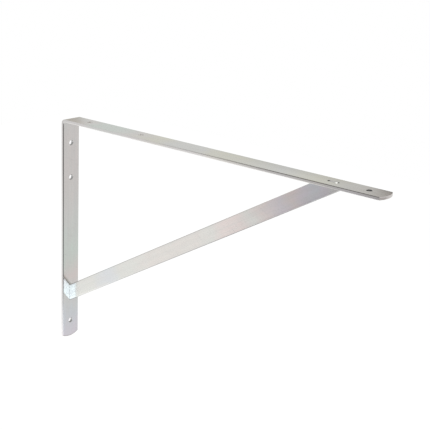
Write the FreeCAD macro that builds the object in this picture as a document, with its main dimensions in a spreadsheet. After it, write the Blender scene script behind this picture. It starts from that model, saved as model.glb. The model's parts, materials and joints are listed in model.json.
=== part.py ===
import FreeCAD, Part
import math
import os
import Sketcher

# Gallows shelf bracket of bright zinc-plated flat bar, in millimetres.
# A wide bar is bent once into an L: one leg lies on the wall and the other carries the shelf.
# A narrower bar stands on edge between the legs as the brace.
# Its two tenons go through slots in the wide bar and are riveted over flush with the outer faces.

# Both legs are measured from the corner where the wall face meets the shelf face.
# The finished part's origin is the centre of the top wall hole, in the wall face.
# +X points out from the wall, +Z points up, and the bars are centred on Y = 0.

SIZES = {
    # Wide bar
    "bar_width": 30,
    "bar_thickness": 4,
    "arm_length": 500,
    "leg_length": 330,
    "inner_bend_radius": 2,
    "tip_radius": 30,
    "tip_corner_radius": 1.5,
    "rolled_edge_radius": 1,
    # Screw holes, from the corner to the hole's centre, or from the tip for the last one on each leg
    "screw_hole_diameter": 7,
    "hole_rim_chamfer": 0.3,
    "arm_first_hole": 40,
    "arm_middle_hole": 135,
    "leg_top_hole": 35,
    "leg_second_hole": 85,
    "tip_hole_inset": 25,
    # Brace, whose middle line meets the inner faces this far from the tips
    "brace_width": 21,
    "brace_thickness": 4,
    "arm_joint_inset": 74,
    "leg_joint_inset": 70,
    # Riveted tenons, whose middles are shifted from the brace's middle line towards the tips
    "tenon_length": 11,
    "tenon_shift": 3,
    "tenon_clearance": 0.05,
    "tenon_chamfer": 0.5,
}

# How a constraint names a line's or an arc's points, the sketch's origin and its two axes
START, END, MIDDLE = range(1, 4)
FLAT_AXIS, UPRIGHT_AXIS = range(-1, -3, -1)
ORIGIN = (FLAT_AXIS, START)

# Lengths and directions that differ by less than this are the same
TOUCHING = 1e-6
X_WAY = FreeCAD.Vector(1, 0, 0)
Y_WAY = FreeCAD.Vector(0, 1, 0)
Z_WAY = FreeCAD.Vector(0, 0, 1)

# A leg's own sketches lie on its outer face: x runs from the corner along the leg, and y across it.
# The wall plane's sketch is turned over, so that x runs down the wall and it faces the wall.
LEG_FACES = {
    "arm": ("XY_Plane", FreeCAD.Rotation()),
    "leg": ("YZ_Plane", FreeCAD.Rotation(X_WAY - Y_WAY, 180)),
}
HOLES = {
    "arm": ("Sizes.arm_first_hole", "Sizes.arm_middle_hole", "Sizes.arm_length - Sizes.tip_hole_inset"),
    "leg": ("Sizes.leg_top_hole", "Sizes.leg_second_hole", "Sizes.leg_length - Sizes.tip_hole_inset"),
}
JOINTS = {
    "arm": "Sizes.arm_length - Sizes.arm_joint_inset",
    "leg": "Sizes.leg_length - Sizes.leg_joint_inset",
}


def make_sheet(document):
    sheet = document.addObject("Spreadsheet::Sheet", "Sizes")
    for row, (name, value) in enumerate(SIZES.items(), start=1):
        sheet.set(f"A{row}", name)
        sheet.set(f"B{row}", str(value))
        sheet.setAlias(f"B{row}", name)
    document.recompute()


def make_body(document, label):
    body = document.addObject("PartDesign::Body", label)
    body.Label = label
    body.setExpression("Placement.Base.z", "Sizes.leg_top_hole")
    return body


def add_sketch(body, name, role, rotation=FreeCAD.Rotation()):
    sketch = body.newObject("Sketcher::SketchObject", name)
    plane = next(feature for feature in body.Origin.OriginFeatures if feature.Role == role)
    sketch.AttachmentSupport = (plane, [""])
    sketch.MapMode = "FlatFace"
    sketch.AttachmentOffset = FreeCAD.Placement(FreeCAD.Vector(), rotation)
    return sketch


def add_leg_sketch(body, name, leg):
    role, rotation = LEG_FACES[leg]
    return add_sketch(body, f"{leg}_{name}", role, rotation)


def value_of(sketch, expression):
    return float(sketch.evalExpression(expression))


def tie(sketch, kind, *rest):
    sketch.addConstraint(Sketcher.Constraint(kind, *rest))


def size(sketch, name, expression, kind, *rest):
    value = value_of(sketch, expression)
    number = sketch.addConstraint(Sketcher.Constraint(kind, *rest, value))
    sketch.renameConstraint(number, name)
    sketch.setExpression(f"Constraints.{name}", expression)


def add_line(sketch, start, end):
    return sketch.addGeometry(Part.LineSegment(FreeCAD.Vector(*start, 0), FreeCAD.Vector(*end, 0)))


def add_arc(sketch, centre, radius, from_degrees, to_degrees):
    circle = Part.Circle(FreeCAD.Vector(*centre, 0), Z_WAY, radius)
    arc = Part.ArcOfCircle(circle, math.radians(from_degrees), math.radians(to_degrees))
    return sketch.addGeometry(arc)


# A pad is centred on its sketch, or runs from an outer face into the metal
def add_pad(body, name, sketch, length, centred):
    pad = body.newObject("PartDesign::Pad", name)
    pad.Profile = sketch
    pad.SideType = "Symmetric" if centred else "One side"
    pad.Reversed = not centred
    pad.setExpression("Length", length)
    body.Document.recompute()
    return pad


def add_through_pocket(body, name, sketch):
    pocket = body.newObject("PartDesign::Pocket", name)
    pocket.Profile = sketch
    pocket.Type = "ThroughAll"
    body.Document.recompute()
    return pocket


def dress_edges(body, kind, name, base, edges, size_name, expression):
    dressing = body.newObject(f"PartDesign::{kind}", name)
    dressing.Base = (base, [f"Edge{number}" for number in edges])
    dressing.setExpression(size_name, expression)
    body.Document.recompute()
    return dressing


def numbered_edges(shape, wanted):
    return [number for number, edge in enumerate(shape.Edges, start=1) if wanted(edge)]


def runs_along(edge, way):
    if not isinstance(edge.Curve, Part.Line):
        return False
    return edge.tangentAt(edge.FirstParameter).cross(way).Length < TOUCHING


# Side view of the bent bar: the wall face and the shelf face meet the two axes
def draw_bent_outline(body):
    sketch = add_sketch(body, "bent_outline", "XZ_Plane")
    arm = value_of(sketch, "Sizes.arm_length")
    leg = value_of(sketch, "Sizes.leg_length")
    thick = value_of(sketch, "Sizes.bar_thickness")
    inner = value_of(sketch, "Sizes.inner_bend_radius")
    outer = inner + thick

    wall_face = add_line(sketch, (0, -leg), (0, -outer))
    outer_bend = add_arc(sketch, (outer, -outer), outer, 90, 180)
    shelf_face = add_line(sketch, (outer, 0), (arm, 0))
    arm_tip = add_line(sketch, (arm, 0), (arm, -thick))
    underside = add_line(sketch, (arm, -thick), (outer, -thick))
    inner_bend = add_arc(sketch, (outer, -outer), inner, 90, 180)
    front_face = add_line(sketch, (thick, -outer), (thick, -leg))
    leg_tip = add_line(sketch, (thick, -leg), (0, -leg))

    tie(sketch, "Tangent", wall_face, END, outer_bend, END)
    tie(sketch, "Tangent", outer_bend, START, shelf_face, START)
    tie(sketch, "Coincident", shelf_face, END, arm_tip, START)
    tie(sketch, "Coincident", arm_tip, END, underside, START)
    tie(sketch, "Tangent", underside, END, inner_bend, START)
    tie(sketch, "Tangent", inner_bend, END, front_face, START)
    tie(sketch, "Coincident", front_face, END, leg_tip, START)
    tie(sketch, "Coincident", leg_tip, END, wall_face, START)
    tie(sketch, "Coincident", outer_bend, MIDDLE, inner_bend, MIDDLE)
    for upright in (wall_face, arm_tip, front_face):
        tie(sketch, "Vertical", upright)
    for level in (shelf_face, underside, leg_tip):
        tie(sketch, "Horizontal", level)
    tie(sketch, "PointOnObject", wall_face, START, UPRIGHT_AXIS)
    tie(sketch, "PointOnObject", shelf_face, END, FLAT_AXIS)

    size(sketch, "arm_length", "Sizes.arm_length", "DistanceX", *ORIGIN, shelf_face, END)
    size(sketch, "leg_length", "Sizes.leg_length", "DistanceY", wall_face, START, *ORIGIN)
    size(sketch, "thickness", "Sizes.bar_thickness", "DistanceX", wall_face, START, front_face, END)
    size(sketch, "bend", "Sizes.inner_bend_radius", "Radius", inner_bend)
    return sketch


# The waste beyond a rounded tip: a block whose near side is hollowed to the tip's arc
def draw_tip_waste(body, leg):
    sketch = add_leg_sketch(body, "tip_waste", leg)
    half = value_of(sketch, "Sizes.bar_width / 2")
    radius = value_of(sketch, "Sizes.tip_radius")
    centre = value_of(sketch, f"Sizes.{leg}_length - Sizes.tip_radius")
    shoulder = centre + math.sqrt(radius**2 - half**2)
    reach = math.degrees(math.asin(half / radius))
    beyond = centre + 2 * radius

    tip = add_arc(sketch, (centre, 0), radius, -reach, reach)
    upper = add_line(sketch, (shoulder, half), (beyond, half))
    back = add_line(sketch, (beyond, half), (beyond, -half))
    lower = add_line(sketch, (beyond, -half), (shoulder, -half))

    tie(sketch, "Coincident", tip, END, upper, START)
    tie(sketch, "Coincident", upper, END, back, START)
    tie(sketch, "Coincident", back, END, lower, START)
    tie(sketch, "Coincident", lower, END, tip, START)
    tie(sketch, "Horizontal", upper)
    tie(sketch, "Horizontal", lower)
    tie(sketch, "PointOnObject", tip, MIDDLE, FLAT_AXIS)
    tie(sketch, "Symmetric", back, START, back, END, FLAT_AXIS)

    size(sketch, "width", "Sizes.bar_width", "DistanceY", back, END, back, START)
    size(sketch, "radius", "Sizes.tip_radius", "Radius", tip)
    centre_place = f"Sizes.{leg}_length - Sizes.tip_radius"
    size(sketch, "centre", centre_place, "DistanceX", *ORIGIN, tip, MIDDLE)
    size(sketch, "beyond", "2 * Sizes.tip_radius", "DistanceX", tip, MIDDLE, back, START)
    return sketch


def draw_screw_holes(body, leg):
    sketch = add_leg_sketch(body, "screw_holes", leg)
    radius = value_of(sketch, "Sizes.screw_hole_diameter / 2")
    for number, place in enumerate(HOLES[leg], start=1):
        centre = FreeCAD.Vector(value_of(sketch, place), 0, 0)
        hole = sketch.addGeometry(Part.Circle(centre, Z_WAY, radius))
        tie(sketch, "PointOnObject", hole, MIDDLE, FLAT_AXIS)
        size(sketch, f"diameter_{number}", "Sizes.screw_hole_diameter", "Diameter", hole)
        size(sketch, f"place_{number}", place, "DistanceX", *ORIGIN, hole, MIDDLE)
    return sketch


# A slot with round ends: the tenon fills its straight part, and the ends stay open
def draw_slot(body, leg):
    sketch = add_leg_sketch(body, "slot_outline", leg)
    middle = value_of(sketch, f"{JOINTS[leg]} + Sizes.tenon_shift")
    run = value_of(sketch, "Sizes.tenon_length / 2 + Sizes.tenon_clearance")
    half = value_of(sketch, "Sizes.brace_thickness / 2 + Sizes.tenon_clearance")

    far_end = add_arc(sketch, (middle + run, 0), half, -90, 90)
    upper = add_line(sketch, (middle + run, half), (middle - run, half))
    near_end = add_arc(sketch, (middle - run, 0), half, 90, 270)
    lower = add_line(sketch, (middle - run, -half), (middle + run, -half))

    tie(sketch, "Tangent", far_end, END, upper, START)
    tie(sketch, "Tangent", upper, END, near_end, START)
    tie(sketch, "Tangent", near_end, END, lower, START)
    tie(sketch, "Tangent", lower, END, far_end, START)
    tie(sketch, "Equal", near_end, far_end)
    tie(sketch, "PointOnObject", near_end, MIDDLE, FLAT_AXIS)
    tie(sketch, "PointOnObject", far_end, MIDDLE, FLAT_AXIS)

    half_width = "Sizes.brace_thickness / 2 + Sizes.tenon_clearance"
    size(sketch, "half_width", half_width, "Radius", far_end)
    straight = "Sizes.tenon_length + 2 * Sizes.tenon_clearance"
    size(sketch, "straight", straight, "DistanceX", near_end, MIDDLE, far_end, MIDDLE)
    near_place = f"{JOINTS[leg]} + Sizes.tenon_shift - Sizes.tenon_length / 2 - Sizes.tenon_clearance"
    size(sketch, "near_place", near_place, "DistanceX", *ORIGIN, near_end, MIDDLE)
    return sketch


# Side view of the brace: two long edges either side of its middle line, cut off by the inner faces
def draw_brace_outline(body):
    sketch = add_sketch(body, "brace_outline", "XZ_Plane")
    thick = value_of(sketch, "Sizes.bar_thickness")
    out = value_of(sketch, JOINTS["arm"])
    down = value_of(sketch, JOINTS["leg"])
    half = value_of(sketch, "Sizes.brace_width / 2")
    slope = math.atan2(down - thick, out - thick)
    rise = half / math.cos(slope)
    reach = half / math.sin(slope)

    middle = add_line(sketch, (thick, -down), (out, -thick))
    sketch.setConstruction(middle, True)
    lower = add_line(sketch, (thick, -down - rise), (out + reach, -thick))
    arm_end = add_line(sketch, (out + reach, -thick), (out - reach, -thick))
    upper = add_line(sketch, (out - reach, -thick), (thick, -down + rise))
    leg_end = add_line(sketch, (thick, -down + rise), (thick, -down - rise))

    tie(sketch, "Coincident", lower, END, arm_end, START)
    tie(sketch, "Coincident", arm_end, END, upper, START)
    tie(sketch, "Coincident", upper, END, leg_end, START)
    tie(sketch, "Coincident", leg_end, END, lower, START)
    tie(sketch, "Horizontal", arm_end)
    tie(sketch, "Vertical", leg_end)
    tie(sketch, "Horizontal", middle, END, arm_end, START)
    tie(sketch, "Vertical", middle, START, leg_end, START)
    tie(sketch, "Parallel", lower, middle)
    tie(sketch, "Parallel", upper, middle)

    size(sketch, "leg_face", "Sizes.bar_thickness", "DistanceX", *ORIGIN, middle, START)
    size(sketch, "leg_joint", JOINTS["leg"], "DistanceY", middle, START, *ORIGIN)
    size(sketch, "arm_joint", JOINTS["arm"], "DistanceX", *ORIGIN, middle, END)
    size(sketch, "arm_face", "Sizes.bar_thickness", "DistanceY", middle, END, *ORIGIN)
    size(sketch, "lower_half", "Sizes.brace_width / 2", "Distance", middle, START, lower)
    size(sketch, "upper_half", "Sizes.brace_width / 2", "Distance", middle, START, upper)
    return sketch


def draw_tenon(body, leg):
    sketch = add_leg_sketch(body, "tenon_outline", leg)
    middle = value_of(sketch, f"{JOINTS[leg]} + Sizes.tenon_shift")
    run = value_of(sketch, "Sizes.tenon_length / 2")
    half = value_of(sketch, "Sizes.brace_thickness / 2")

    lower = add_line(sketch, (middle - run, -half), (middle + run, -half))
    far_side = add_line(sketch, (middle + run, -half), (middle + run, half))
    upper = add_line(sketch, (middle + run, half), (middle - run, half))
    near_side = add_line(sketch, (middle - run, half), (middle - run, -half))

    for line, following in ((lower, far_side), (far_side, upper), (upper, near_side), (near_side, lower)):
        tie(sketch, "Coincident", line, END, following, START)
    tie(sketch, "Horizontal", upper)
    tie(sketch, "Symmetric", far_side, START, far_side, END, FLAT_AXIS)
    tie(sketch, "Symmetric", near_side, START, near_side, END, FLAT_AXIS)

    size(sketch, "thickness", "Sizes.brace_thickness", "DistanceY", far_side, START, far_side, END)
    size(sketch, "length", "Sizes.tenon_length", "DistanceX", lower, START, lower, END)
    near_place = f"{JOINTS[leg]} + Sizes.tenon_shift - Sizes.tenon_length / 2"
    size(sketch, "near_place", near_place, "DistanceX", *ORIGIN, lower, START)
    return sketch


# A tip's corner edges go straight through the strip
def runs_through(edge, thickness):
    through = runs_along(edge, X_WAY) or runs_along(edge, Z_WAY)
    return through and abs(edge.Length - thickness) < TOUCHING


def round_tip_corners(body, strip, thickness):
    corners = numbered_edges(strip.Shape, lambda edge: runs_through(edge, thickness))
    return dress_edges(body, "Fillet", "tip_corners", strip, corners, "Radius", "Sizes.tip_corner_radius")


# The rolled edges follow the strip's sides, its bend and its tips
def round_strip_edges(body, strip, thickness):
    def is_rolled(edge):
        return not runs_along(edge, Y_WAY) and not runs_through(edge, thickness)

    edges = numbered_edges(strip.Shape, is_rolled)
    return dress_edges(body, "Fillet", "rolled_edges", strip, edges, "Radius", "Sizes.rolled_edge_radius")


def soften_hole_rims(body, drilled, hole_radius):
    def is_rim(edge):
        if not isinstance(edge.Curve, Part.Circle) or not edge.isClosed():
            return False
        return abs(edge.Curve.Radius - hole_radius) < TOUCHING

    edges = numbered_edges(drilled.Shape, is_rim)
    return dress_edges(body, "Chamfer", "hole_rims", drilled, edges, "Size", "Sizes.hole_rim_chamfer")


def make_bent_bar(document):
    body = make_body(document, "bent_bar")
    outline = draw_bent_outline(body)
    strip = add_pad(body, "bent_strip", outline, "Sizes.bar_width", centred=True)
    for leg in LEG_FACES:
        strip = add_through_pocket(body, f"{leg}_tip", draw_tip_waste(body, leg))
    thickness = value_of(outline, "Sizes.bar_thickness")
    strip = round_tip_corners(body, strip, thickness)
    round_strip_edges(body, strip, thickness)
    for leg in LEG_FACES:
        drilled = add_through_pocket(body, f"{leg}_holes", draw_screw_holes(body, leg))
    hole_radius = value_of(outline, "Sizes.screw_hole_diameter / 2")
    soften_hole_rims(body, drilled, hole_radius)
    for leg in LEG_FACES:
        add_through_pocket(body, f"{leg}_slot", draw_slot(body, leg))
    return body


# Only the brace's long edges slant, and they are rolled; its cut ends stay sharp
def round_brace_edges(body, blank):
    def is_rolled(edge):
        return not any(runs_along(edge, way) for way in (X_WAY, Y_WAY, Z_WAY))

    edges = numbered_edges(blank.Shape, is_rolled)
    return dress_edges(body, "Fillet", "brace_edges", blank, edges, "Radius", "Sizes.rolled_edge_radius")


# A tenon's end lies in the leg's outer face, and its rim is chamfered there
def chamfer_tenons(body, tenoned):
    def is_tenon_rim(edge):
        ends = [vertex.Point for vertex in edge.Vertexes]
        in_shelf_face = all(abs(end.z) < TOUCHING for end in ends)
        in_wall_face = all(abs(end.x) < TOUCHING for end in ends)
        return in_shelf_face or in_wall_face

    edges = numbered_edges(tenoned.Shape, is_tenon_rim)
    return dress_edges(body, "Chamfer", "tenon_rims", tenoned, edges, "Size", "Sizes.tenon_chamfer")


def make_diagonal_brace(document):
    body = make_body(document, "diagonal_brace")
    outline = draw_brace_outline(body)
    blank = add_pad(body, "brace_blank", outline, "Sizes.brace_thickness", centred=True)
    round_brace_edges(body, blank)
    for leg in LEG_FACES:
        tenon = draw_tenon(body, leg)
        tenoned = add_pad(body, f"{leg}_tenon", tenon, "Sizes.bar_thickness", centred=False)
    chamfer_tenons(body, tenoned)
    return body


def check_features(document):
    for item in document.Objects:
        if {"Invalid", "Error"} & set(item.State):
            raise RuntimeError(f"{item.Name} failed: {item.State}")
        if item.TypeId == "Sketcher::SketchObject" and not item.FullyConstrained:
            raise RuntimeError(f"{item.Name} isn't fully constrained")
        if item.TypeId == "PartDesign::Pocket" and item.Shape.Volume >= item.BaseFeature.Shape.Volume:
            raise RuntimeError(f"{item.Name} cuts nothing")


def check_body(body):
    shape = body.Shape
    if shape.isNull() or not shape.isValid() or len(shape.Solids) != 1:
        raise RuntimeError(f"{body.Label} isn't one valid solid")


def main():
    document = FreeCAD.newDocument("gallows_bracket")
    make_sheet(document)
    bodies = [make_bent_bar(document), make_diagonal_brace(document)]
    document.recompute()
    check_features(document)
    for body in bodies:
        check_body(body)
    os.makedirs("parts", exist_ok=True)
    for body in bodies:
        body.Shape.exportStep(f"parts/{body.Label}.step")
        print(body.Label, "volume in cubic millimetres", round(body.Shape.Volume))


main()
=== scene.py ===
"""A gallows shelf bracket of zinc-plated flat bar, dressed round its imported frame."""

import json
import math

import bpy
from mathutils import Matrix, Vector

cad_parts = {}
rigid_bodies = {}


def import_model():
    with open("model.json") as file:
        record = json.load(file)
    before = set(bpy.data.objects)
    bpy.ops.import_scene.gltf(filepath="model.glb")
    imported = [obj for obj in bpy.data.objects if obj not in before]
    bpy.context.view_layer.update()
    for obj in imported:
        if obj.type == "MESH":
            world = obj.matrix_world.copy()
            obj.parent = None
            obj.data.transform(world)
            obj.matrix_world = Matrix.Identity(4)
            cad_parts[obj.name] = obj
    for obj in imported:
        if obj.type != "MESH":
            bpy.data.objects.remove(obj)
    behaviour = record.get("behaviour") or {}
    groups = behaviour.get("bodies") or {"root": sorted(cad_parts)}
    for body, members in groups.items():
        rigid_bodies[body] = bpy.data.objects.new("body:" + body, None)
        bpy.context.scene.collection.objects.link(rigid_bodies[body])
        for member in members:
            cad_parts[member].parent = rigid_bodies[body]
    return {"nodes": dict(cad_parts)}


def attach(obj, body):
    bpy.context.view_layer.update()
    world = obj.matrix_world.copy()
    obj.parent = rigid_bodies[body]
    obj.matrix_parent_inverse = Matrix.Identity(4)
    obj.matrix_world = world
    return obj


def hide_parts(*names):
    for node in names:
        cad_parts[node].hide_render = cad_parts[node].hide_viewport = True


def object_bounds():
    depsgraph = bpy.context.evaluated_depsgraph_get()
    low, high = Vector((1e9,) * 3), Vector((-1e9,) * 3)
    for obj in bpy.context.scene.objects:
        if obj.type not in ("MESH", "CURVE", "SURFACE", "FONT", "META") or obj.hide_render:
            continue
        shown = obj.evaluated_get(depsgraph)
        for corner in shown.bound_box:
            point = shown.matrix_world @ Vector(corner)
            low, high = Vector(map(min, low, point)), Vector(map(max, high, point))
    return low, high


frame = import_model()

CAD_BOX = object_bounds()

# Camera, fitted to the bars' edges in the photograph
CAMERA_PLACE = (0.94928, -0.88985, 0.31588)
CAMERA_YAW = math.radians(37.612)
CAMERA_PITCH = math.radians(17.764)
CAMERA_ROLL = math.radians(3.048)
CAMERA_LENS = 78.96
SENSOR_WIDTH = 36
NEAREST_SEEN = 0.01

# Bent bar, in metres: its reach comes from the frame, and its holes lie on each leg's middle line
(_, _, LEG_END), (ARM_END, BAR_HALF_WIDTH, SHELF_LEVEL) = CAD_BOX
BAR_THICKNESS = 0.004
ARM_UNDERSIDE = SHELF_LEVEL - BAR_THICKNESS
HOLE_RADIUS = 0.0035
TIP_HOLE_INSET = 0.025
LEG_HOLES = (0.0, -0.05, LEG_END + TIP_HOLE_INSET)
ARM_HOLES = (0.04, 0.135, ARM_END - TIP_HOLE_INSET)

# Its rounded tips, by their arc and by how far back from its end a tip is taken to start
TIP_RADIUS = 0.030
TIP_DEPTH = 0.005
LEG_TIP_MIDDLE = LEG_END + TIP_RADIUS
ARM_TIP_MIDDLE = ARM_END - TIP_RADIUS

# Brace, whose middle line meets the bent bar's inner faces at its foot and its head
LEG_JOINT_INSET = 0.070
ARM_JOINT_INSET = 0.074
BRACE_FOOT = (BAR_THICKNESS, LEG_END + LEG_JOINT_INSET)
BRACE_HEAD = (ARM_END - ARM_JOINT_INSET, ARM_UNDERSIDE)
BRACE_SLOPE = math.atan2(BRACE_HEAD[1] - BRACE_FOOT[1], BRACE_HEAD[0] - BRACE_FOOT[0])
BRACE_HALF_WIDTH = 0.0105
BRACE_HALF_THICKNESS = 0.002
FOOT_HALF_HEIGHT = BRACE_HALF_WIDTH / math.cos(BRACE_SLOPE)

# Slots for its tenons, which sit nearer the tips than its middle line does
TENON_HALF_LENGTH = 0.0055
TENON_SHIFT = 0.003
TENON_CLEARANCE = 0.00005
SLOT_HALF_RUN = TENON_HALF_LENGTH + TENON_CLEARANCE
SLOT_END_RADIUS = BRACE_HALF_THICKNESS + TENON_CLEARANCE
LEG_SLOT = BRACE_FOOT[1] - TENON_SHIFT
ARM_SLOT = BRACE_HEAD[0] + TENON_SHIFT
LEG_SLOT_ENDS = (LEG_SLOT + SLOT_HALF_RUN, LEG_SLOT - SLOT_HALF_RUN)
ARM_SLOT_ENDS = (ARM_SLOT - SLOT_HALF_RUN, ARM_SLOT + SLOT_HALF_RUN)

# Hammered ends of the tenons, and the chip off the arm's tenon, which stays clear of its root
WELD_REACH = 0.000001
FLAT_ANGLE = math.radians(0.5)
SMOOTH_ANGLE = math.radians(30)
HAMMERED_BORDER = 0.00025
HAMMER_MARKS = 7
DENT_DEPTH = 0.00006
DENT_SPREAD = 0.00005
DENT_SEED = 5
ROOT_RISE = 0.0002
TENON_ROOT = ARM_UNDERSIDE + ROOT_RISE
CHIP_PLACE = (0.4334, -0.0009, 0.0349)
CHIP_FACING = (0.315, -0.708, 0.632)

# Studio
WHITE = (1, 1, 1, 1)
WORLD_LIGHT = 0.75
FLOOR_LEVEL = -1.7
FLOOR_REACH = 12
FLOOR_PAINT = (0.9, 0.9, 0.9, 1)
FLOOR_GLOW = 1.08
FLOOR_GLOW_SHARE = 0.85
LAMP_SIZE = 1.2
KEY_PLACE = (-0.6, -1.6, 1.6)
KEY_POWER = 40
FILL_PLACE = (1.6, 0.4, 1.2)
FILL_POWER = 20
TENT_MIDDLE = (0.2, 0, -0.1)
TENT_RADIUS = 1.5
TENT_SEGMENTS = 64
TENT_RINGS = 32

# Brightness of the tent's cloth and of its panels. A panel has its colour, its span of turn from +X
# towards +Y, its span of height, and how soft its sides and its ends are, all in degrees.
TENT_CLOTH = (0.76, 0.76, 0.75, 1)
ALL_ROUND = (-200, 200)
TENT_PANELS = [
    # Left: pale cloth for the arm's side, and brighter paper below it for the brace and the leg's side
    ((0.79, 0.785, 0.775), (-200, -121.5), (-60, 60), 2.5, 5),
    ((0.97, 0.965, 0.95), (-200, -119.5), (-62, -13), 6, 3),
    ((1.36, 1.35, 1.33), (-200, -130), (-62, -27.3), 5, 1.2),
    ((0.86, 0.85, 0.84), (-130.5, -123), (-14, -3), 2, 1.5),
    # Dim wall beside it, for the right ends of the brace and of the arm's side
    ((0.53, 0.525, 0.53), (-121.5, -100), (-14, 60), 3, 4),
    ((0.62, 0.61, 0.605), (-119, -115.5), (-12.5, -4), 1, 1),
    ((0.55, 0.53, 0.55), (-117, -100), (-40, -12), 4, 4),
    # Right rear: cloth for the arm's top, which darkens towards its tip, and a post seen at its root
    ((0.71, 0.71, 0.70), (112, 150), (8, 30), 6, 6),
    ((0.62, 0.61, 0.59), (85, 112.5), (12, 34), 3, 5),
    ((0.34, 0.32, 0.30), (85, 106.5), (12, 34), 2.5, 5),
    ((0.535, 0.505, 0.465), (141.05, 160), (-30, 34), 0.3, 6),
    # Straight behind, for the thin lines along the brace
    ((0.45, 0.45, 0.45), (160, 200), (-8, 30), 6, 6),
    ((0.45, 0.45, 0.45), (-200, -160), (-8, 30), 6, 6),
    # Front: a dim room for the rounded rims, with a dark corner and a paler end to its left, a brown
    # wall on its right, brighter walls above it, and a dark ceiling
    ((0.24, 0.22, 0.21), (-132, -100), (4, 95), 4, 5),
    ((0.24, 0.24, 0.24), (-103, 34), (-31, 95), 6, 3),
    ((0.03, 0.03, 0.03), (-114, -98), (-31, -20), 2, 1.5),
    ((0.30, 0.30, 0.30), (-106, -74), (-29, 0), 4, 4),
    ((0.48, 0.44, 0.41), (-10, 34), (-13, -5), 6, 2),
    ((0.46, 0.45, 0.44), (-100, -62), (-11.3, 90), 2, 0.5),
    ((0.46, 0.45, 0.44), (-62, 34), (-9.8, 60), 2, 0.5),
    ((0.66, 0.66, 0.67), (-62, 40), (-5, 60), 3, 1),
    ((0.10, 0.10, 0.10), (-200, 40), (56, 95), 5, 5),
    ((0.10, 0.10, 0.10), (135, 200), (56, 95), 5, 5),
    # Lit table below the room, its shaded end, the cool lamp that stands on it, a small lamp high
    # above, which the chipped tenon mirrors, and the tent's shaded foot
    ((1.02, 1.02, 1.01), (-132, 26), (-95, -31.5), 6, 2.5),
    ((0.78, 0.77, 0.78), (-134, -102), (-66, -37), 3, 3),
    ((2.00, 2.20, 2.40), (-61, -37), (-46, -26), 3, 2),
    ((6.5, 6.5, 6.5), (-68, -52), (58, 66), 4, 2.5),
    ((0.50, 0.50, 0.50), ALL_ROUND, (-95, -66), 5, 6),
    # Dark corners for the under edges of the arm's right end, and a grey screen for the leg's far edge
    ((0.45, 0.45, 0.45), (-160, -98), (-95, -66), 4, 3),
    ((0.30, 0.30, 0.31), (98, 142), (-95, -59), 4, 2),
    ((0.20, 0.20, 0.21), (98, 117.5), (-59, -24), 2, 4),
    ((0.58, 0.57, 0.56), (68, 130), (-28, -13), 5, 1.5),
    # Cloth before the leg's front, a little dimmer high up and brighter low down
    ((0.725, 0.715, 0.72), (40, 60), (-22, 4), 4, 6),
    ((0.82, 0.82, 0.85), (40, 60), (-50, -32.5), 4, 3),
]

# Faint colours of the plating
GREY = (0.765, 0.770, 0.745)
WARM = (0.785, 0.750, 0.725)
PINK = (0.820, 0.720, 0.705)
STRAW = (0.790, 0.775, 0.630)
TEAL = (0.700, 0.790, 0.735)
BLUE = (0.715, 0.750, 0.800)
LILAC = (0.770, 0.715, 0.785)

# Where they lie along the bent bar, in metres from the corner, with the leg below 0
BAR_TINTS = [
    (-0.320, LILAC), (-0.290, BLUE), (-0.255, GREY), (-0.230, PINK), (-0.195, TEAL), (-0.130, GREY),
    (-0.085, WARM), (-0.020, WARM), (0.010, GREY), (0.040, WARM), (0.065, TEAL), (0.090, TEAL),
    (0.130, WARM), (0.170, STRAW), (0.195, GREY), (0.240, GREY), (0.260, STRAW), (0.290, STRAW),
    (0.360, GREY), (0.410, STRAW), (0.450, GREY), (0.500, WARM),
]
BAR_SPAN = (LEG_END - SHELF_LEVEL, ARM_END)

# The same along the brace, in metres from its foot
BRACE_TINTS = [
    (0.020, GREY), (0.060, GREY), (0.090, BLUE), (0.115, GREY), (0.150, GREY), (0.180, WARM),
    (0.275, WARM), (0.300, GREY), (0.322, PINK), (0.348, PINK), (0.373, GREY), (0.393, PINK),
    (0.415, LILAC), (0.435, PINK), (0.455, LILAC), (0.470, BLUE), (0.485, LILAC), (0.500, GREY),
]
BRACE_SPAN = (0.0, 0.52)

# How far noise moves them along a bar, and the pale clouds that it mixes in, by the noise of each
NOISE_MIDDLE = 0.5
DRIFT_REACH = 0.05
CLOUD_SHARE = 0.2
PALE_CLOUDS = [
    (0.32, (0.73, 0.78, 0.765)),
    (0.50, (0.77, 0.765, 0.74)),
    (0.68, (0.80, 0.745, 0.735)),
]

# Grain of each noise: its spots a metre along a bar and over it, its detail and its roughness
DRIFT_GRAIN = (22, 55, 2.0, 0.5)
CLOUD_GRAIN = (68, 170, 2.0, 0.5)
LINE_GRAIN = (9, 800, 2.0, 0.5)
BAND_GRAIN = (5, 240, 1.0, 0.5)
STAIN_GRAIN = (45, 120, 4.0, 0.6)
WEAR_GRAIN = (60, 300, 3.0, 0.6)

# Scratches, by how they lean over a bar, and by their grain along and over the scratch itself
SCRATCH_RUN = 0.9
SCRATCH_SLANT = 0.45
SCRATCH_GRAIN = (60, 1400, 1.0, 0.5)

# The noise at which a mark starts to show, and at which it is whole
LINE_STEP = (0.45, 0.80)
BAND_STEP = (0.42, 0.62)
SCRATCH_STEP = (0.60, 0.75)
STAIN_STEP = (0.35, 0.75)
WEAR_STEP = (0.42, 0.60)

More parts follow.
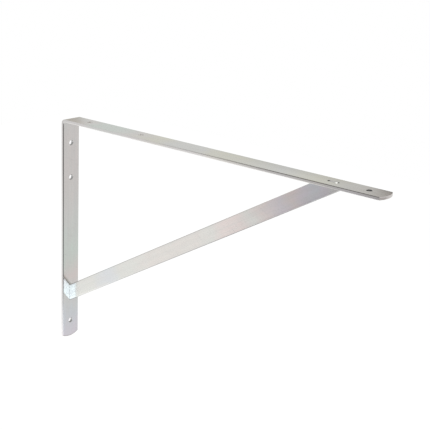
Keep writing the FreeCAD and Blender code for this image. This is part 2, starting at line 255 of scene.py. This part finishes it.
# Films over the plating, some of them painted shade and painted light, by how much each covers and its
# colour
ROLLED_LINE = (0.30, (0.66, 0.655, 0.64, 1))
BROAD_BAND = (0.28, (0.70, 0.70, 0.69, 1))
SCRATCH = (0.35, (0.62, 0.62, 0.62, 1))
STAIN = (0.12, (0.63, 0.63, 0.61, 1))
WORN = (0.30, (0.68, 0.67, 0.66, 1))
SIDE = (0.60, (0.785, 0.765, 0.780, 1))
# Dull walls of the holes, painted darker as shade in the holes
DULL_AND_SHADED_BORE = (1.00, (0.40, 0.40, 0.40, 1))
# Painted light on the walls of the arm's two inner holes
PAINTED_LIGHT_BORE = (1.00, (0.96, 0.94, 0.92, 1))
SHEARED = (1.00, (0.78, 0.74, 0.72, 1))
BROWN = (0.40, 0.36, 0.34, 1)
# Painted shade, brown, over the far side of the arm's tip
TIP_PAINTED_SHADE = (0.30, BROWN)
# Painted shade, brown, in a line on the faces just inside both rounded tips
TIP_ARC_SHADE = (0.45, BROWN)
DARK = (0.10, 0.10, 0.10, 1)
# Painted shade along the arm's far edge, where it runs over the brace's upper end
FAR_EDGE_SHADE = (0.16, DARK)
# Painted shade along the far edge of the arm's tip
TIP_EDGE_SHADE = (0.40, DARK)
# Painted shade along the leg's near rounded rim
LEG_RIM_SHADE = (0.70, DARK)
# Painted shade on the leg beside the brace's foot
FOOT_SHADE = (0.40, DARK)
# Painted shade in the open ends of the tenons' slots
SLOT_END_SHADE = (0.80, DARK)

# How far inside an edge or an arc a film starts, and from how near to it the film is whole, in metres
WORN_BORDER = (0.0012, 0.0003)
SIDE_BORDER = (0.0008, 0.0002)
SHEARED_BORDER = (0.0006, 0.0003)
# For the painted shade just inside the rounded tips
TIP_ARC_SHADE_BORDER = (0.0020, 0.0012)

# How far outside a hole's radius its wall's film is still whole, and where it has gone
BORE_BORDER = (0.00005, 0.0003)

# Where the painted shade and painted light rise and fall on the bent bar: each pair of places, in
# metres, is one soft step
FAR_EDGE_ACROSS = (-0.010, 0.016)
FAR_EDGE_RISE = (0.24, 0.34)
FAR_EDGE_FALL = (0.42, 0.46)
TIP_SHADE_ACROSS = (-0.010, 0.012)
TIP_SHADE_RISE = (0.476, 0.492)
TIP_EDGE_ACROSS = (0.0095, 0.0130)
TIP_EDGE_RISE = (0.470, 0.486)
LEG_RIM_ACROSS = (-0.0143, -0.0138)
LEG_RIM_DEPTH = (0.0030, 0.0033)
LEG_RIM_RISE = (-0.265, -0.190)
LEG_RIM_FALL = (0.026, 0.031)
PAINTED_LIGHT_BORES_LEVEL = (0.02, 0.03)
PAINTED_LIGHT_BORES_FALL = (0.3, 0.4)
FOOT_SHADE_BESIDE = (0.0002, 0.0009)
FOOT_SHADE_DEPTH = (0.006, 0.007)
PLACE_SOFTNESS = 0.0005

# Gloss of the zinc, and what its marks and dull places add to it
ZINC_ROUGHNESS = 0.10
STAIN_ROUGHNESS = 0.10
SCRATCH_ROUGHNESS = 0.05
BORE_DULLING = 0.08
SHEARED_DULLING = 0.12
FOOT_DULLING = 0.10
FOOT_DULL_RISE = (0.013, 0.018)
FOOT_DULL_FALL = (0.020, 0.032)
LINE_BUMP = 0.15
LINE_DEPTH = 0.0002


# Shader maths

class Wire:
    """A shader socket that adds a Math node for each sum it takes part in."""

    def __init__(self, mixer, socket):
        self.mixer = mixer
        self.socket = socket

    def sum(self, operation, *values):
        return self.mixer.add("ShaderNodeMath", dict(enumerate(values)), operation=operation)

    def __add__(self, other):
        return self.sum("ADD", self, other)

    def __sub__(self, other):
        return self.sum("SUBTRACT", self, other)

    def __rsub__(self, other):
        return self.sum("SUBTRACT", other, self)

    def __mul__(self, other):
        return self.sum("MULTIPLY", self, other)

    def __truediv__(self, other):
        return self.sum("DIVIDE", self, other)

    def __abs__(self):
        return self.sum("ABSOLUTE", self)

    __radd__ = __add__
    __rmul__ = __mul__

    def root(self):
        return self.sum("SQRT", self)

    def arc_sine(self):
        return self.sum("ARCSINE", self)

    def arc_tangent(self, other):
        return self.sum("ARCTAN2", self, other)

    def least(self, other):
        return self.sum("MINIMUM", self, other)

    def most(self, other):
        return self.sum("MAXIMUM", self, other)

    def between(self, low, high):
        """0 below low, 1 above high, and a soft step from one to the other."""
        inputs = {"Value": self, "From Min": low, "From Max": high}
        return self.mixer.add("ShaderNodeMapRange", inputs, interpolation_type="SMOOTHSTEP")

    def past(self, place, softness):
        """0 before a place and 1 past it, with a soft border so wide to either side."""
        return self.between(place - softness, place + softness)

    def near(self, edge, border):
        """0 far inside an edge and 1 near it, with the soft step where the border has it."""
        start, whole = border
        return self.between(edge - start, edge - whole)

    def within(self, rise, fall):
        """0 before a first soft step, 1 from there to a second one, and 0 after that."""
        return self.between(*rise) * (1 - self.between(*fall))


class Mixer:
    """Adds nodes to one material or to the world, and hands back their outputs as wires."""

    def __init__(self, owner):
        owner.use_nodes = True
        self.tree = owner.node_tree
        self.tree.nodes.clear()

    def add(self, kind, inputs=None, output=0, **settings):
        node = self.tree.nodes.new(kind)
        for name, value in settings.items():
            if name == "stops":
                set_stops(node.color_ramp, value)
            else:
                setattr(node, name, value)
        for name, value in (inputs or {}).items():
            self.feed(node.inputs[name], value)
        return Wire(self, node.outputs[output])

    def feed(self, socket, value):
        if isinstance(value, Wire):
            self.tree.links.new(value.socket, socket)
        else:
            socket.default_value = value

    def place(self):
        """The three numbers of the object's own coordinates."""
        vector = self.add("ShaderNodeTexCoord", output="Object")
        split = self.add("ShaderNodeSeparateXYZ", {0: vector})
        return [Wire(self, socket) for socket in split.socket.node.outputs]

    def blend(self, share, first, second):
        """A colour between two."""
        return self.add("ShaderNodeMix", {0: share, 6: first, 7: second}, 2, data_type="RGBA")

    def noise(self, numbers, detail, roughness):
        place = self.add("ShaderNodeCombineXYZ", dict(enumerate(numbers)))
        inputs = {"Vector": place, "Scale": 1.0, "Detail": detail, "Roughness": roughness}
        return self.add("ShaderNodeTexNoise", inputs)

    def end(self, shader, kind="ShaderNodeOutputMaterial"):
        output = self.tree.nodes.new(kind)
        self.tree.links.new(shader.socket, output.inputs["Surface"])


def set_stops(ramp, stops):
    while len(ramp.elements) < len(stops):
        ramp.elements.new(1)
    for element, (position, colour) in zip(ramp.elements, stops):
        element.position = position
        element.color = (*colour, 1)


# Zinc. A lie is a place on a bar: how far along it, across it and deep in it, in metres.

def bar_noise(mixer, lie, grain):
    """Noise that is drawn out along a bar as far as its grain says."""
    run, across, depth = lie
    along, over, detail, roughness = grain
    return mixer.noise((run * along, across * over, depth * over), detail, roughness)


def scratch_noise(mixer, lie):
    """Fine scratches that lie askew over a bar."""
    run, across, depth = lie
    along, over, detail, roughness = SCRATCH_GRAIN
    over_scratch = run * SCRATCH_RUN + across * SCRATCH_SLANT
    along_scratch = across * SCRATCH_RUN - run * SCRATCH_SLANT
    return mixer.noise((over_scratch * over, along_scratch * along, depth * along), detail, roughness)


def plating_colour(mixer, lie, tints, span):
    """The faint colours of the plating, which drift along the bar and in small clouds."""
    low, high = span
    drift = lie[0] + (bar_noise(mixer, lie, DRIFT_GRAIN) - NOISE_MIDDLE) * DRIFT_REACH
    stops = [((place - low) / (high - low), colour) for place, colour in tints]
    tint = mixer.add("ShaderNodeValToRGB", {0: (drift - low) / (high - low)}, stops=stops)
    clouds = bar_noise(mixer, lie, CLOUD_GRAIN)
    pale = mixer.add("ShaderNodeValToRGB", {0: clouds}, stops=PALE_CLOUDS)
    return mixer.blend(CLOUD_SHARE, tint, pale)


def zinc_shader(mixer, lie, tints, span, films, dulling):
    """Bright zinc over rolled bar: faint colours, lengthwise lines, fine scratches and a soft gloss.
    Each film, whether a mark of the zinc, painted shade or painted light, comes with 1 where it lies
    and 0 elsewhere, and dulling adds to the roughness."""
    lines = bar_noise(mixer, lie, LINE_GRAIN)
    bands = bar_noise(mixer, lie, BAND_GRAIN)
    scratches = scratch_noise(mixer, lie).between(*SCRATCH_STEP)
    stains = bar_noise(mixer, lie, STAIN_GRAIN)
    everywhere = [
        (lines.between(*LINE_STEP), ROLLED_LINE),
        (bands.between(*BAND_STEP), BROAD_BAND),
        (scratches, SCRATCH),
        (stains.between(*STAIN_STEP), STAIN),
    ]
    colour = plating_colour(mixer, lie, tints, span)
    for where, (cover, film) in [*everywhere, *films]:
        colour = mixer.blend(where * cover, colour, film)
    roughness = ZINC_ROUGHNESS + stains * STAIN_ROUGHNESS + scratches * SCRATCH_ROUGHNESS + dulling
    height = {"Height": lines, "Strength": LINE_BUMP, "Distance": LINE_DEPTH}
    return mixer.add("ShaderNodeBsdfPrincipled", {
        "Base Color": colour,
        "Metallic": 1.0,
        "Roughness": roughness,
        "Normal": mixer.add("ShaderNodeBump", height),
    })


def edge_wear(mixer, lie, half_width):
    """1 in broken lines along a bar's two edges, where hands and stacking rub the zinc."""
    rim = abs(lie[1]).near(half_width, WORN_BORDER)
    return rim * bar_noise(mixer, lie, WEAR_GRAIN).between(*WEAR_STEP)


def reach_from(first, second):
    return (first * first + second * second).root()


def hole_walls(x, y, z, radius, leg_places, arm_places):
    """1 on the walls of round holes in the bent bar, and 0 on its faces."""
    middles = [z - place for place in leg_places] + [x - place for place in arm_places]
    nearest = reach_from(middles[0], y)
    for middle in middles[1:]:
        nearest = nearest.least(reach_from(middle, y))
    whole, gone = BORE_BORDER
    return 1 - nearest.between(radius + whole, radius + gone)


def reach_in_tips(x, y, z):
    """How far a point of either tip is from the middle of the tip's arc, and 0 outside the tips."""
    in_arm_tip = x.past(ARM_END - TIP_DEPTH, PLACE_SOFTNESS)
    in_leg_tip = 1 - z.past(LEG_END + TIP_DEPTH, PLACE_SOFTNESS)
    arm_reach = reach_from(x - ARM_TIP_MIDDLE, y) * in_arm_tip
    leg_reach = reach_from(z - LEG_TIP_MIDDLE, y) * in_leg_tip
    return arm_reach.most(leg_reach)


def foot_shade_line(x, y, z):
    """A thin painted shade where the brace's foot stands on the leg."""
    beside = 1 - (abs(y) - BRACE_HALF_THICKNESS).between(*FOOT_SHADE_BESIDE)
    level = 1 - abs(z - BRACE_FOOT[1]).past(FOOT_HALF_HEIGHT, PLACE_SOFTNESS)
    return beside * level * (1 - x.between(*FOOT_SHADE_DEPTH))


def make_bar_zinc():
    material = bpy.data.materials.new("bright_zinc_bar")
    mixer = Mixer(material)
    x, y, z = mixer.place()
    below_top = SHELF_LEVEL - z
    lie = (x - below_top, y, x.least(below_top))
    bores = hole_walls(x, y, z, HOLE_RADIUS, LEG_HOLES, ARM_HOLES)
    # Painted light on the walls of the arm's two inner holes
    painted_light_bores = bores * z.between(*PAINTED_LIGHT_BORES_LEVEL) * (1 - x.between(*PAINTED_LIGHT_BORES_FALL))
    tip_reach = reach_in_tips(x, y, z)
    sheared = tip_reach.near(TIP_RADIUS, SHEARED_BORDER)
    # Painted shade in a line just inside both rounded tips
    tip_arc_shade = tip_reach.near(TIP_RADIUS, TIP_ARC_SHADE_BORDER) * (1 - sheared)
    # Painted shade over the far side of the arm's tip
    tip_shade = x.between(*TIP_SHADE_RISE) * y.between(*TIP_SHADE_ACROSS) * (1 - sheared)
    # Painted shade along the leg's near rounded rim
    leg_rim_shading = (1 - y.between(*LEG_RIM_ACROSS)) * x.between(*LEG_RIM_DEPTH)
    films = [
        (abs(y).near(BAR_HALF_WIDTH, SIDE_BORDER), SIDE),
        (edge_wear(mixer, lie, BAR_HALF_WIDTH), WORN),
        # Dull hole walls, painted darker as shade in the holes
        (bores, DULL_AND_SHADED_BORE),
        # Painted light on the walls of the arm's two inner holes
        (painted_light_bores, PAINTED_LIGHT_BORE),
        (sheared, SHEARED),
        # Painted shade over the far side of the arm's tip
        (tip_shade, TIP_PAINTED_SHADE),
        # Painted shade in a line just inside both rounded tips
        (tip_arc_shade, TIP_ARC_SHADE),
        # Painted shade along the arm's far edge
        (y.between(*FAR_EDGE_ACROSS) * x.within(FAR_EDGE_RISE, FAR_EDGE_FALL), FAR_EDGE_SHADE),
        # Painted shade along the far edge of the arm's tip
        (y.between(*TIP_EDGE_ACROSS) * x.between(*TIP_EDGE_RISE), TIP_EDGE_SHADE),
        # Painted shade along the leg's near rounded rim
        (leg_rim_shading * z.within(LEG_RIM_RISE, LEG_RIM_FALL), LEG_RIM_SHADE),
        # Painted shade on the leg beside the brace's foot
        (foot_shade_line(x, y, z), FOOT_SHADE),
        # Painted shade in the open ends of the tenons' slots
        (hole_walls(x, y, z, SLOT_END_RADIUS, LEG_SLOT_ENDS, ARM_SLOT_ENDS), SLOT_END_SHADE),
    ]
    dulling = bores * BORE_DULLING + sheared * SHEARED_DULLING
    mixer.end(zinc_shader(mixer, lie, BAR_TINTS, BAR_SPAN, films, dulling))
    return material


def make_brace_zinc():
    material = bpy.data.materials.new("bright_zinc_brace")
    mixer = Mixer(material)
    x, y, z = mixer.place()
    out = x - BRACE_FOOT[0]
    up = z - BRACE_FOOT[1]
    run = out * math.cos(BRACE_SLOPE) + up * math.sin(BRACE_SLOPE)
    across = up * math.cos(BRACE_SLOPE) - out * math.sin(BRACE_SLOPE)
    lie = (run, across, y)
    films = [(edge_wear(mixer, lie, BRACE_HALF_WIDTH), WORN)]
    dulling = x.within(FOOT_DULL_RISE, FOOT_DULL_FALL) * FOOT_DULLING
    mixer.end(zinc_shader(mixer, lie, BRACE_TINTS, BRACE_SPAN, films, dulling))
    return material


# Brace with hammered tenons

def make_riveted_brace():
    """A merged copy of the brace's solid, with the ends of its tenons hammered over in their slots."""
    bpy.ops.object.select_all(action="DESELECT")
    brace = bpy.data.objects.new("riveted_brace", frame["nodes"]["diagonal_brace"].data.copy())
    bpy.context.scene.collection.objects.link(brace)
    brace.select_set(True)
    bpy.context.view_layer.objects.active = brace
    bpy.ops.mesh.customdata_custom_splitnormals_clear()
    bpy.ops.object.mode_set(mode="EDIT")
    bpy.ops.mesh.select_mode(type="FACE")
    bpy.ops.mesh.select_all(action="SELECT")
    bpy.ops.mesh.remove_doubles(threshold=WELD_REACH)
    bpy.ops.mesh.dissolve_limited(angle_limit=FLAT_ANGLE)
    hammer_end(brace, lambda place: place.z > SHELF_LEVEL - WELD_REACH, (0, 0, -DENT_DEPTH))
    hammer_end(brace, lambda place: place.x < WELD_REACH, (DENT_DEPTH, 0, 0))
    chip_arm_tenon(brace)
    bpy.ops.mesh.select_all(action="SELECT")
    bpy.ops.mesh.normals_make_consistent(inside=False)
    bpy.ops.object.mode_set(mode="OBJECT")
    bpy.ops.object.shade_smooth_by_angle(angle=SMOOTH_ANGLE)
    brace.data.materials.clear()
    brace.data.materials.append(make_brace_zinc())
    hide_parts("diagonal_brace")
    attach(brace, "root")


def hammer_end(brace, at_end, push):
    """Dents a tenon's end face inside a narrow border, and pushes the dents into the metal."""
    select_faces(brace, at_end)
    bpy.ops.mesh.inset(thickness=HAMMERED_BORDER)
    bpy.ops.mesh.subdivide(number_cuts=HAMMER_MARKS)
    bpy.ops.mesh.select_less()
    bpy.ops.transform.translate(value=push)
    bpy.ops.transform.vertex_random(offset=DENT_SPREAD, uniform=0, normal=1, seed=DENT_SEED)


def chip_arm_tenon(brace):
    """Cuts a small slanted chip off the arm's tenon, and leaves the rest of the brace whole."""
    bpy.ops.mesh.select_all(action="SELECT")
    bpy.ops.mesh.bisect(plane_co=(0, 0, TENON_ROOT), plane_no=(0, 0, 1))
    select_faces(brace, lambda place: place.z > TENON_ROOT)
    bpy.ops.mesh.bisect(plane_co=CHIP_PLACE, plane_no=CHIP_FACING, use_fill=True, clear_outer=True)


def select_faces(piece, wanted):
    """Selects the faces whose middle is wanted, and no others."""
    bpy.ops.mesh.select_all(action="DESELECT")
    bpy.ops.object.mode_set(mode="OBJECT")
    for face in piece.data.polygons:
        face.select = wanted(face.center)
    bpy.ops.object.mode_set(mode="EDIT")


# Studio

def seen_directly(mixer):
    """1 for rays from the camera, off metal or through glass, and 0 for light that falls on things."""
    path = mixer.add("ShaderNodeLightPath")
    outputs = path.socket.node.outputs
    camera, glossy, through = (
        Wire(mixer, outputs[name])
        for name in ("Is Camera Ray", "Is Glossy Ray", "Is Transmission Ray")
    )
    return camera.most(glossy).most(through)


def make_world():
    world = bpy.data.worlds.new("studio")
    bpy.context.scene.world = world
    mixer = Mixer(world)
    strength = WORLD_LIGHT + seen_directly(mixer) * (1 - WORLD_LIGHT)
    light = mixer.add("ShaderNodeBackground", {"Color": WHITE, "Strength": strength})
    mixer.end(light, "ShaderNodeOutputWorld")


def make_floor():
    bpy.ops.object.select_all(action="DESELECT")
    bpy.ops.mesh.primitive_plane_add(size=FLOOR_REACH, location=(0, 0, FLOOR_LEVEL))
    floor = bpy.context.object
    floor.name = "floor"
    material = bpy.data.materials.new("pale_floor")
    mixer = Mixer(material)
    painted = mixer.add("ShaderNodeBsdfDiffuse", {"Color": FLOOR_PAINT})
    glowing = mixer.add("ShaderNodeEmission", {"Color": WHITE, "Strength": FLOOR_GLOW})
    share = seen_directly(mixer) * FLOOR_GLOW_SHARE
    mixer.end(mixer.add("ShaderNodeMixShader", {0: share, 1: painted, 2: glowing}))
    floor.data.materials.append(material)


def window(number, span, softness):
    """1 inside a span of degrees and 0 outside it, with soft borders."""
    low, high = span
    return number.past(low, softness) * (1 - number.past(high, softness))


def make_tent_cloth():
    """Pale cloth that glows, with its panels laid over it in turn."""
    material = bpy.data.materials.new("tent_cloth")
    mixer = Mixer(material)
    x, y, z = mixer.place()
    turn = y.arc_tangent(x) * math.degrees(1)
    height = (z / TENT_RADIUS).arc_sine() * math.degrees(1)
    cloth = TENT_CLOTH
    for colour, turns, heights, side_softness, end_softness in TENT_PANELS:
        share = window(turn, turns, side_softness) * window(height, heights, end_softness)
        cloth = mixer.blend(share, cloth, (*colour, 1))
    mixer.end(mixer.add("ShaderNodeEmission", {"Color": cloth, "Strength": 1.0}))
    return material


def make_tent():
    """A closed tent of pale cloth round the bracket, which only the metal sees."""
    bpy.ops.object.select_all(action="DESELECT")
    bpy.ops.mesh.primitive_uv_sphere_add(
        segments=TENT_SEGMENTS, ring_count=TENT_RINGS, radius=TENT_RADIUS, location=TENT_MIDDLE
    )
    tent = bpy.context.object
    tent.name = "light_tent"
    tent.data.materials.append(make_tent_cloth())
    tent.visible_camera = False
    tent.visible_diffuse = False
    tent.visible_shadow = False


def make_lamp(name, place, power):
    """A soft round lamp that shines at the tent's middle, and that the metal doesn't mirror."""
    lamp = bpy.data.lights.new(name, "AREA")
    lamp.shape = "DISK"
    lamp.size = LAMP_SIZE
    lamp.energy = power
    holder = bpy.data.objects.new(name, lamp)
    bpy.context.scene.collection.objects.link(holder)
    holder.location = place
    aim = Vector(TENT_MIDDLE) - Vector(place)
    holder.rotation_euler = aim.to_track_quat("-Z", "Y").to_euler()
    holder.visible_glossy = False


def make_camera():
    camera = bpy.data.cameras.new("camera")
    camera.sensor_width = SENSOR_WIDTH
    camera.lens = CAMERA_LENS
    camera.clip_start = NEAREST_SEEN
    holder = bpy.data.objects.new("camera", camera)
    bpy.context.scene.collection.objects.link(holder)
    holder.matrix_world = (
        Matrix.Translation(CAMERA_PLACE)
        @ Matrix.Rotation(CAMERA_YAW, 4, "Z")
        @ Matrix.Rotation(math.pi / 2 - CAMERA_PITCH, 4, "X")
        @ Matrix.Rotation(CAMERA_ROLL, 4, "Z")
    )
    bpy.context.scene.camera = holder


make_camera()
make_world()
make_floor()
make_tent()
make_lamp("soft_key", KEY_PLACE, KEY_POWER)
make_lamp("soft_fill", FILL_PLACE, FILL_POWER)

bent_bar = frame["nodes"]["bent_bar"]
bent_bar.data.materials.clear()
bent_bar.data.materials.append(make_bar_zinc())
make_riveted_brace()

bpy.context.scene.view_settings.view_transform = "Standard"
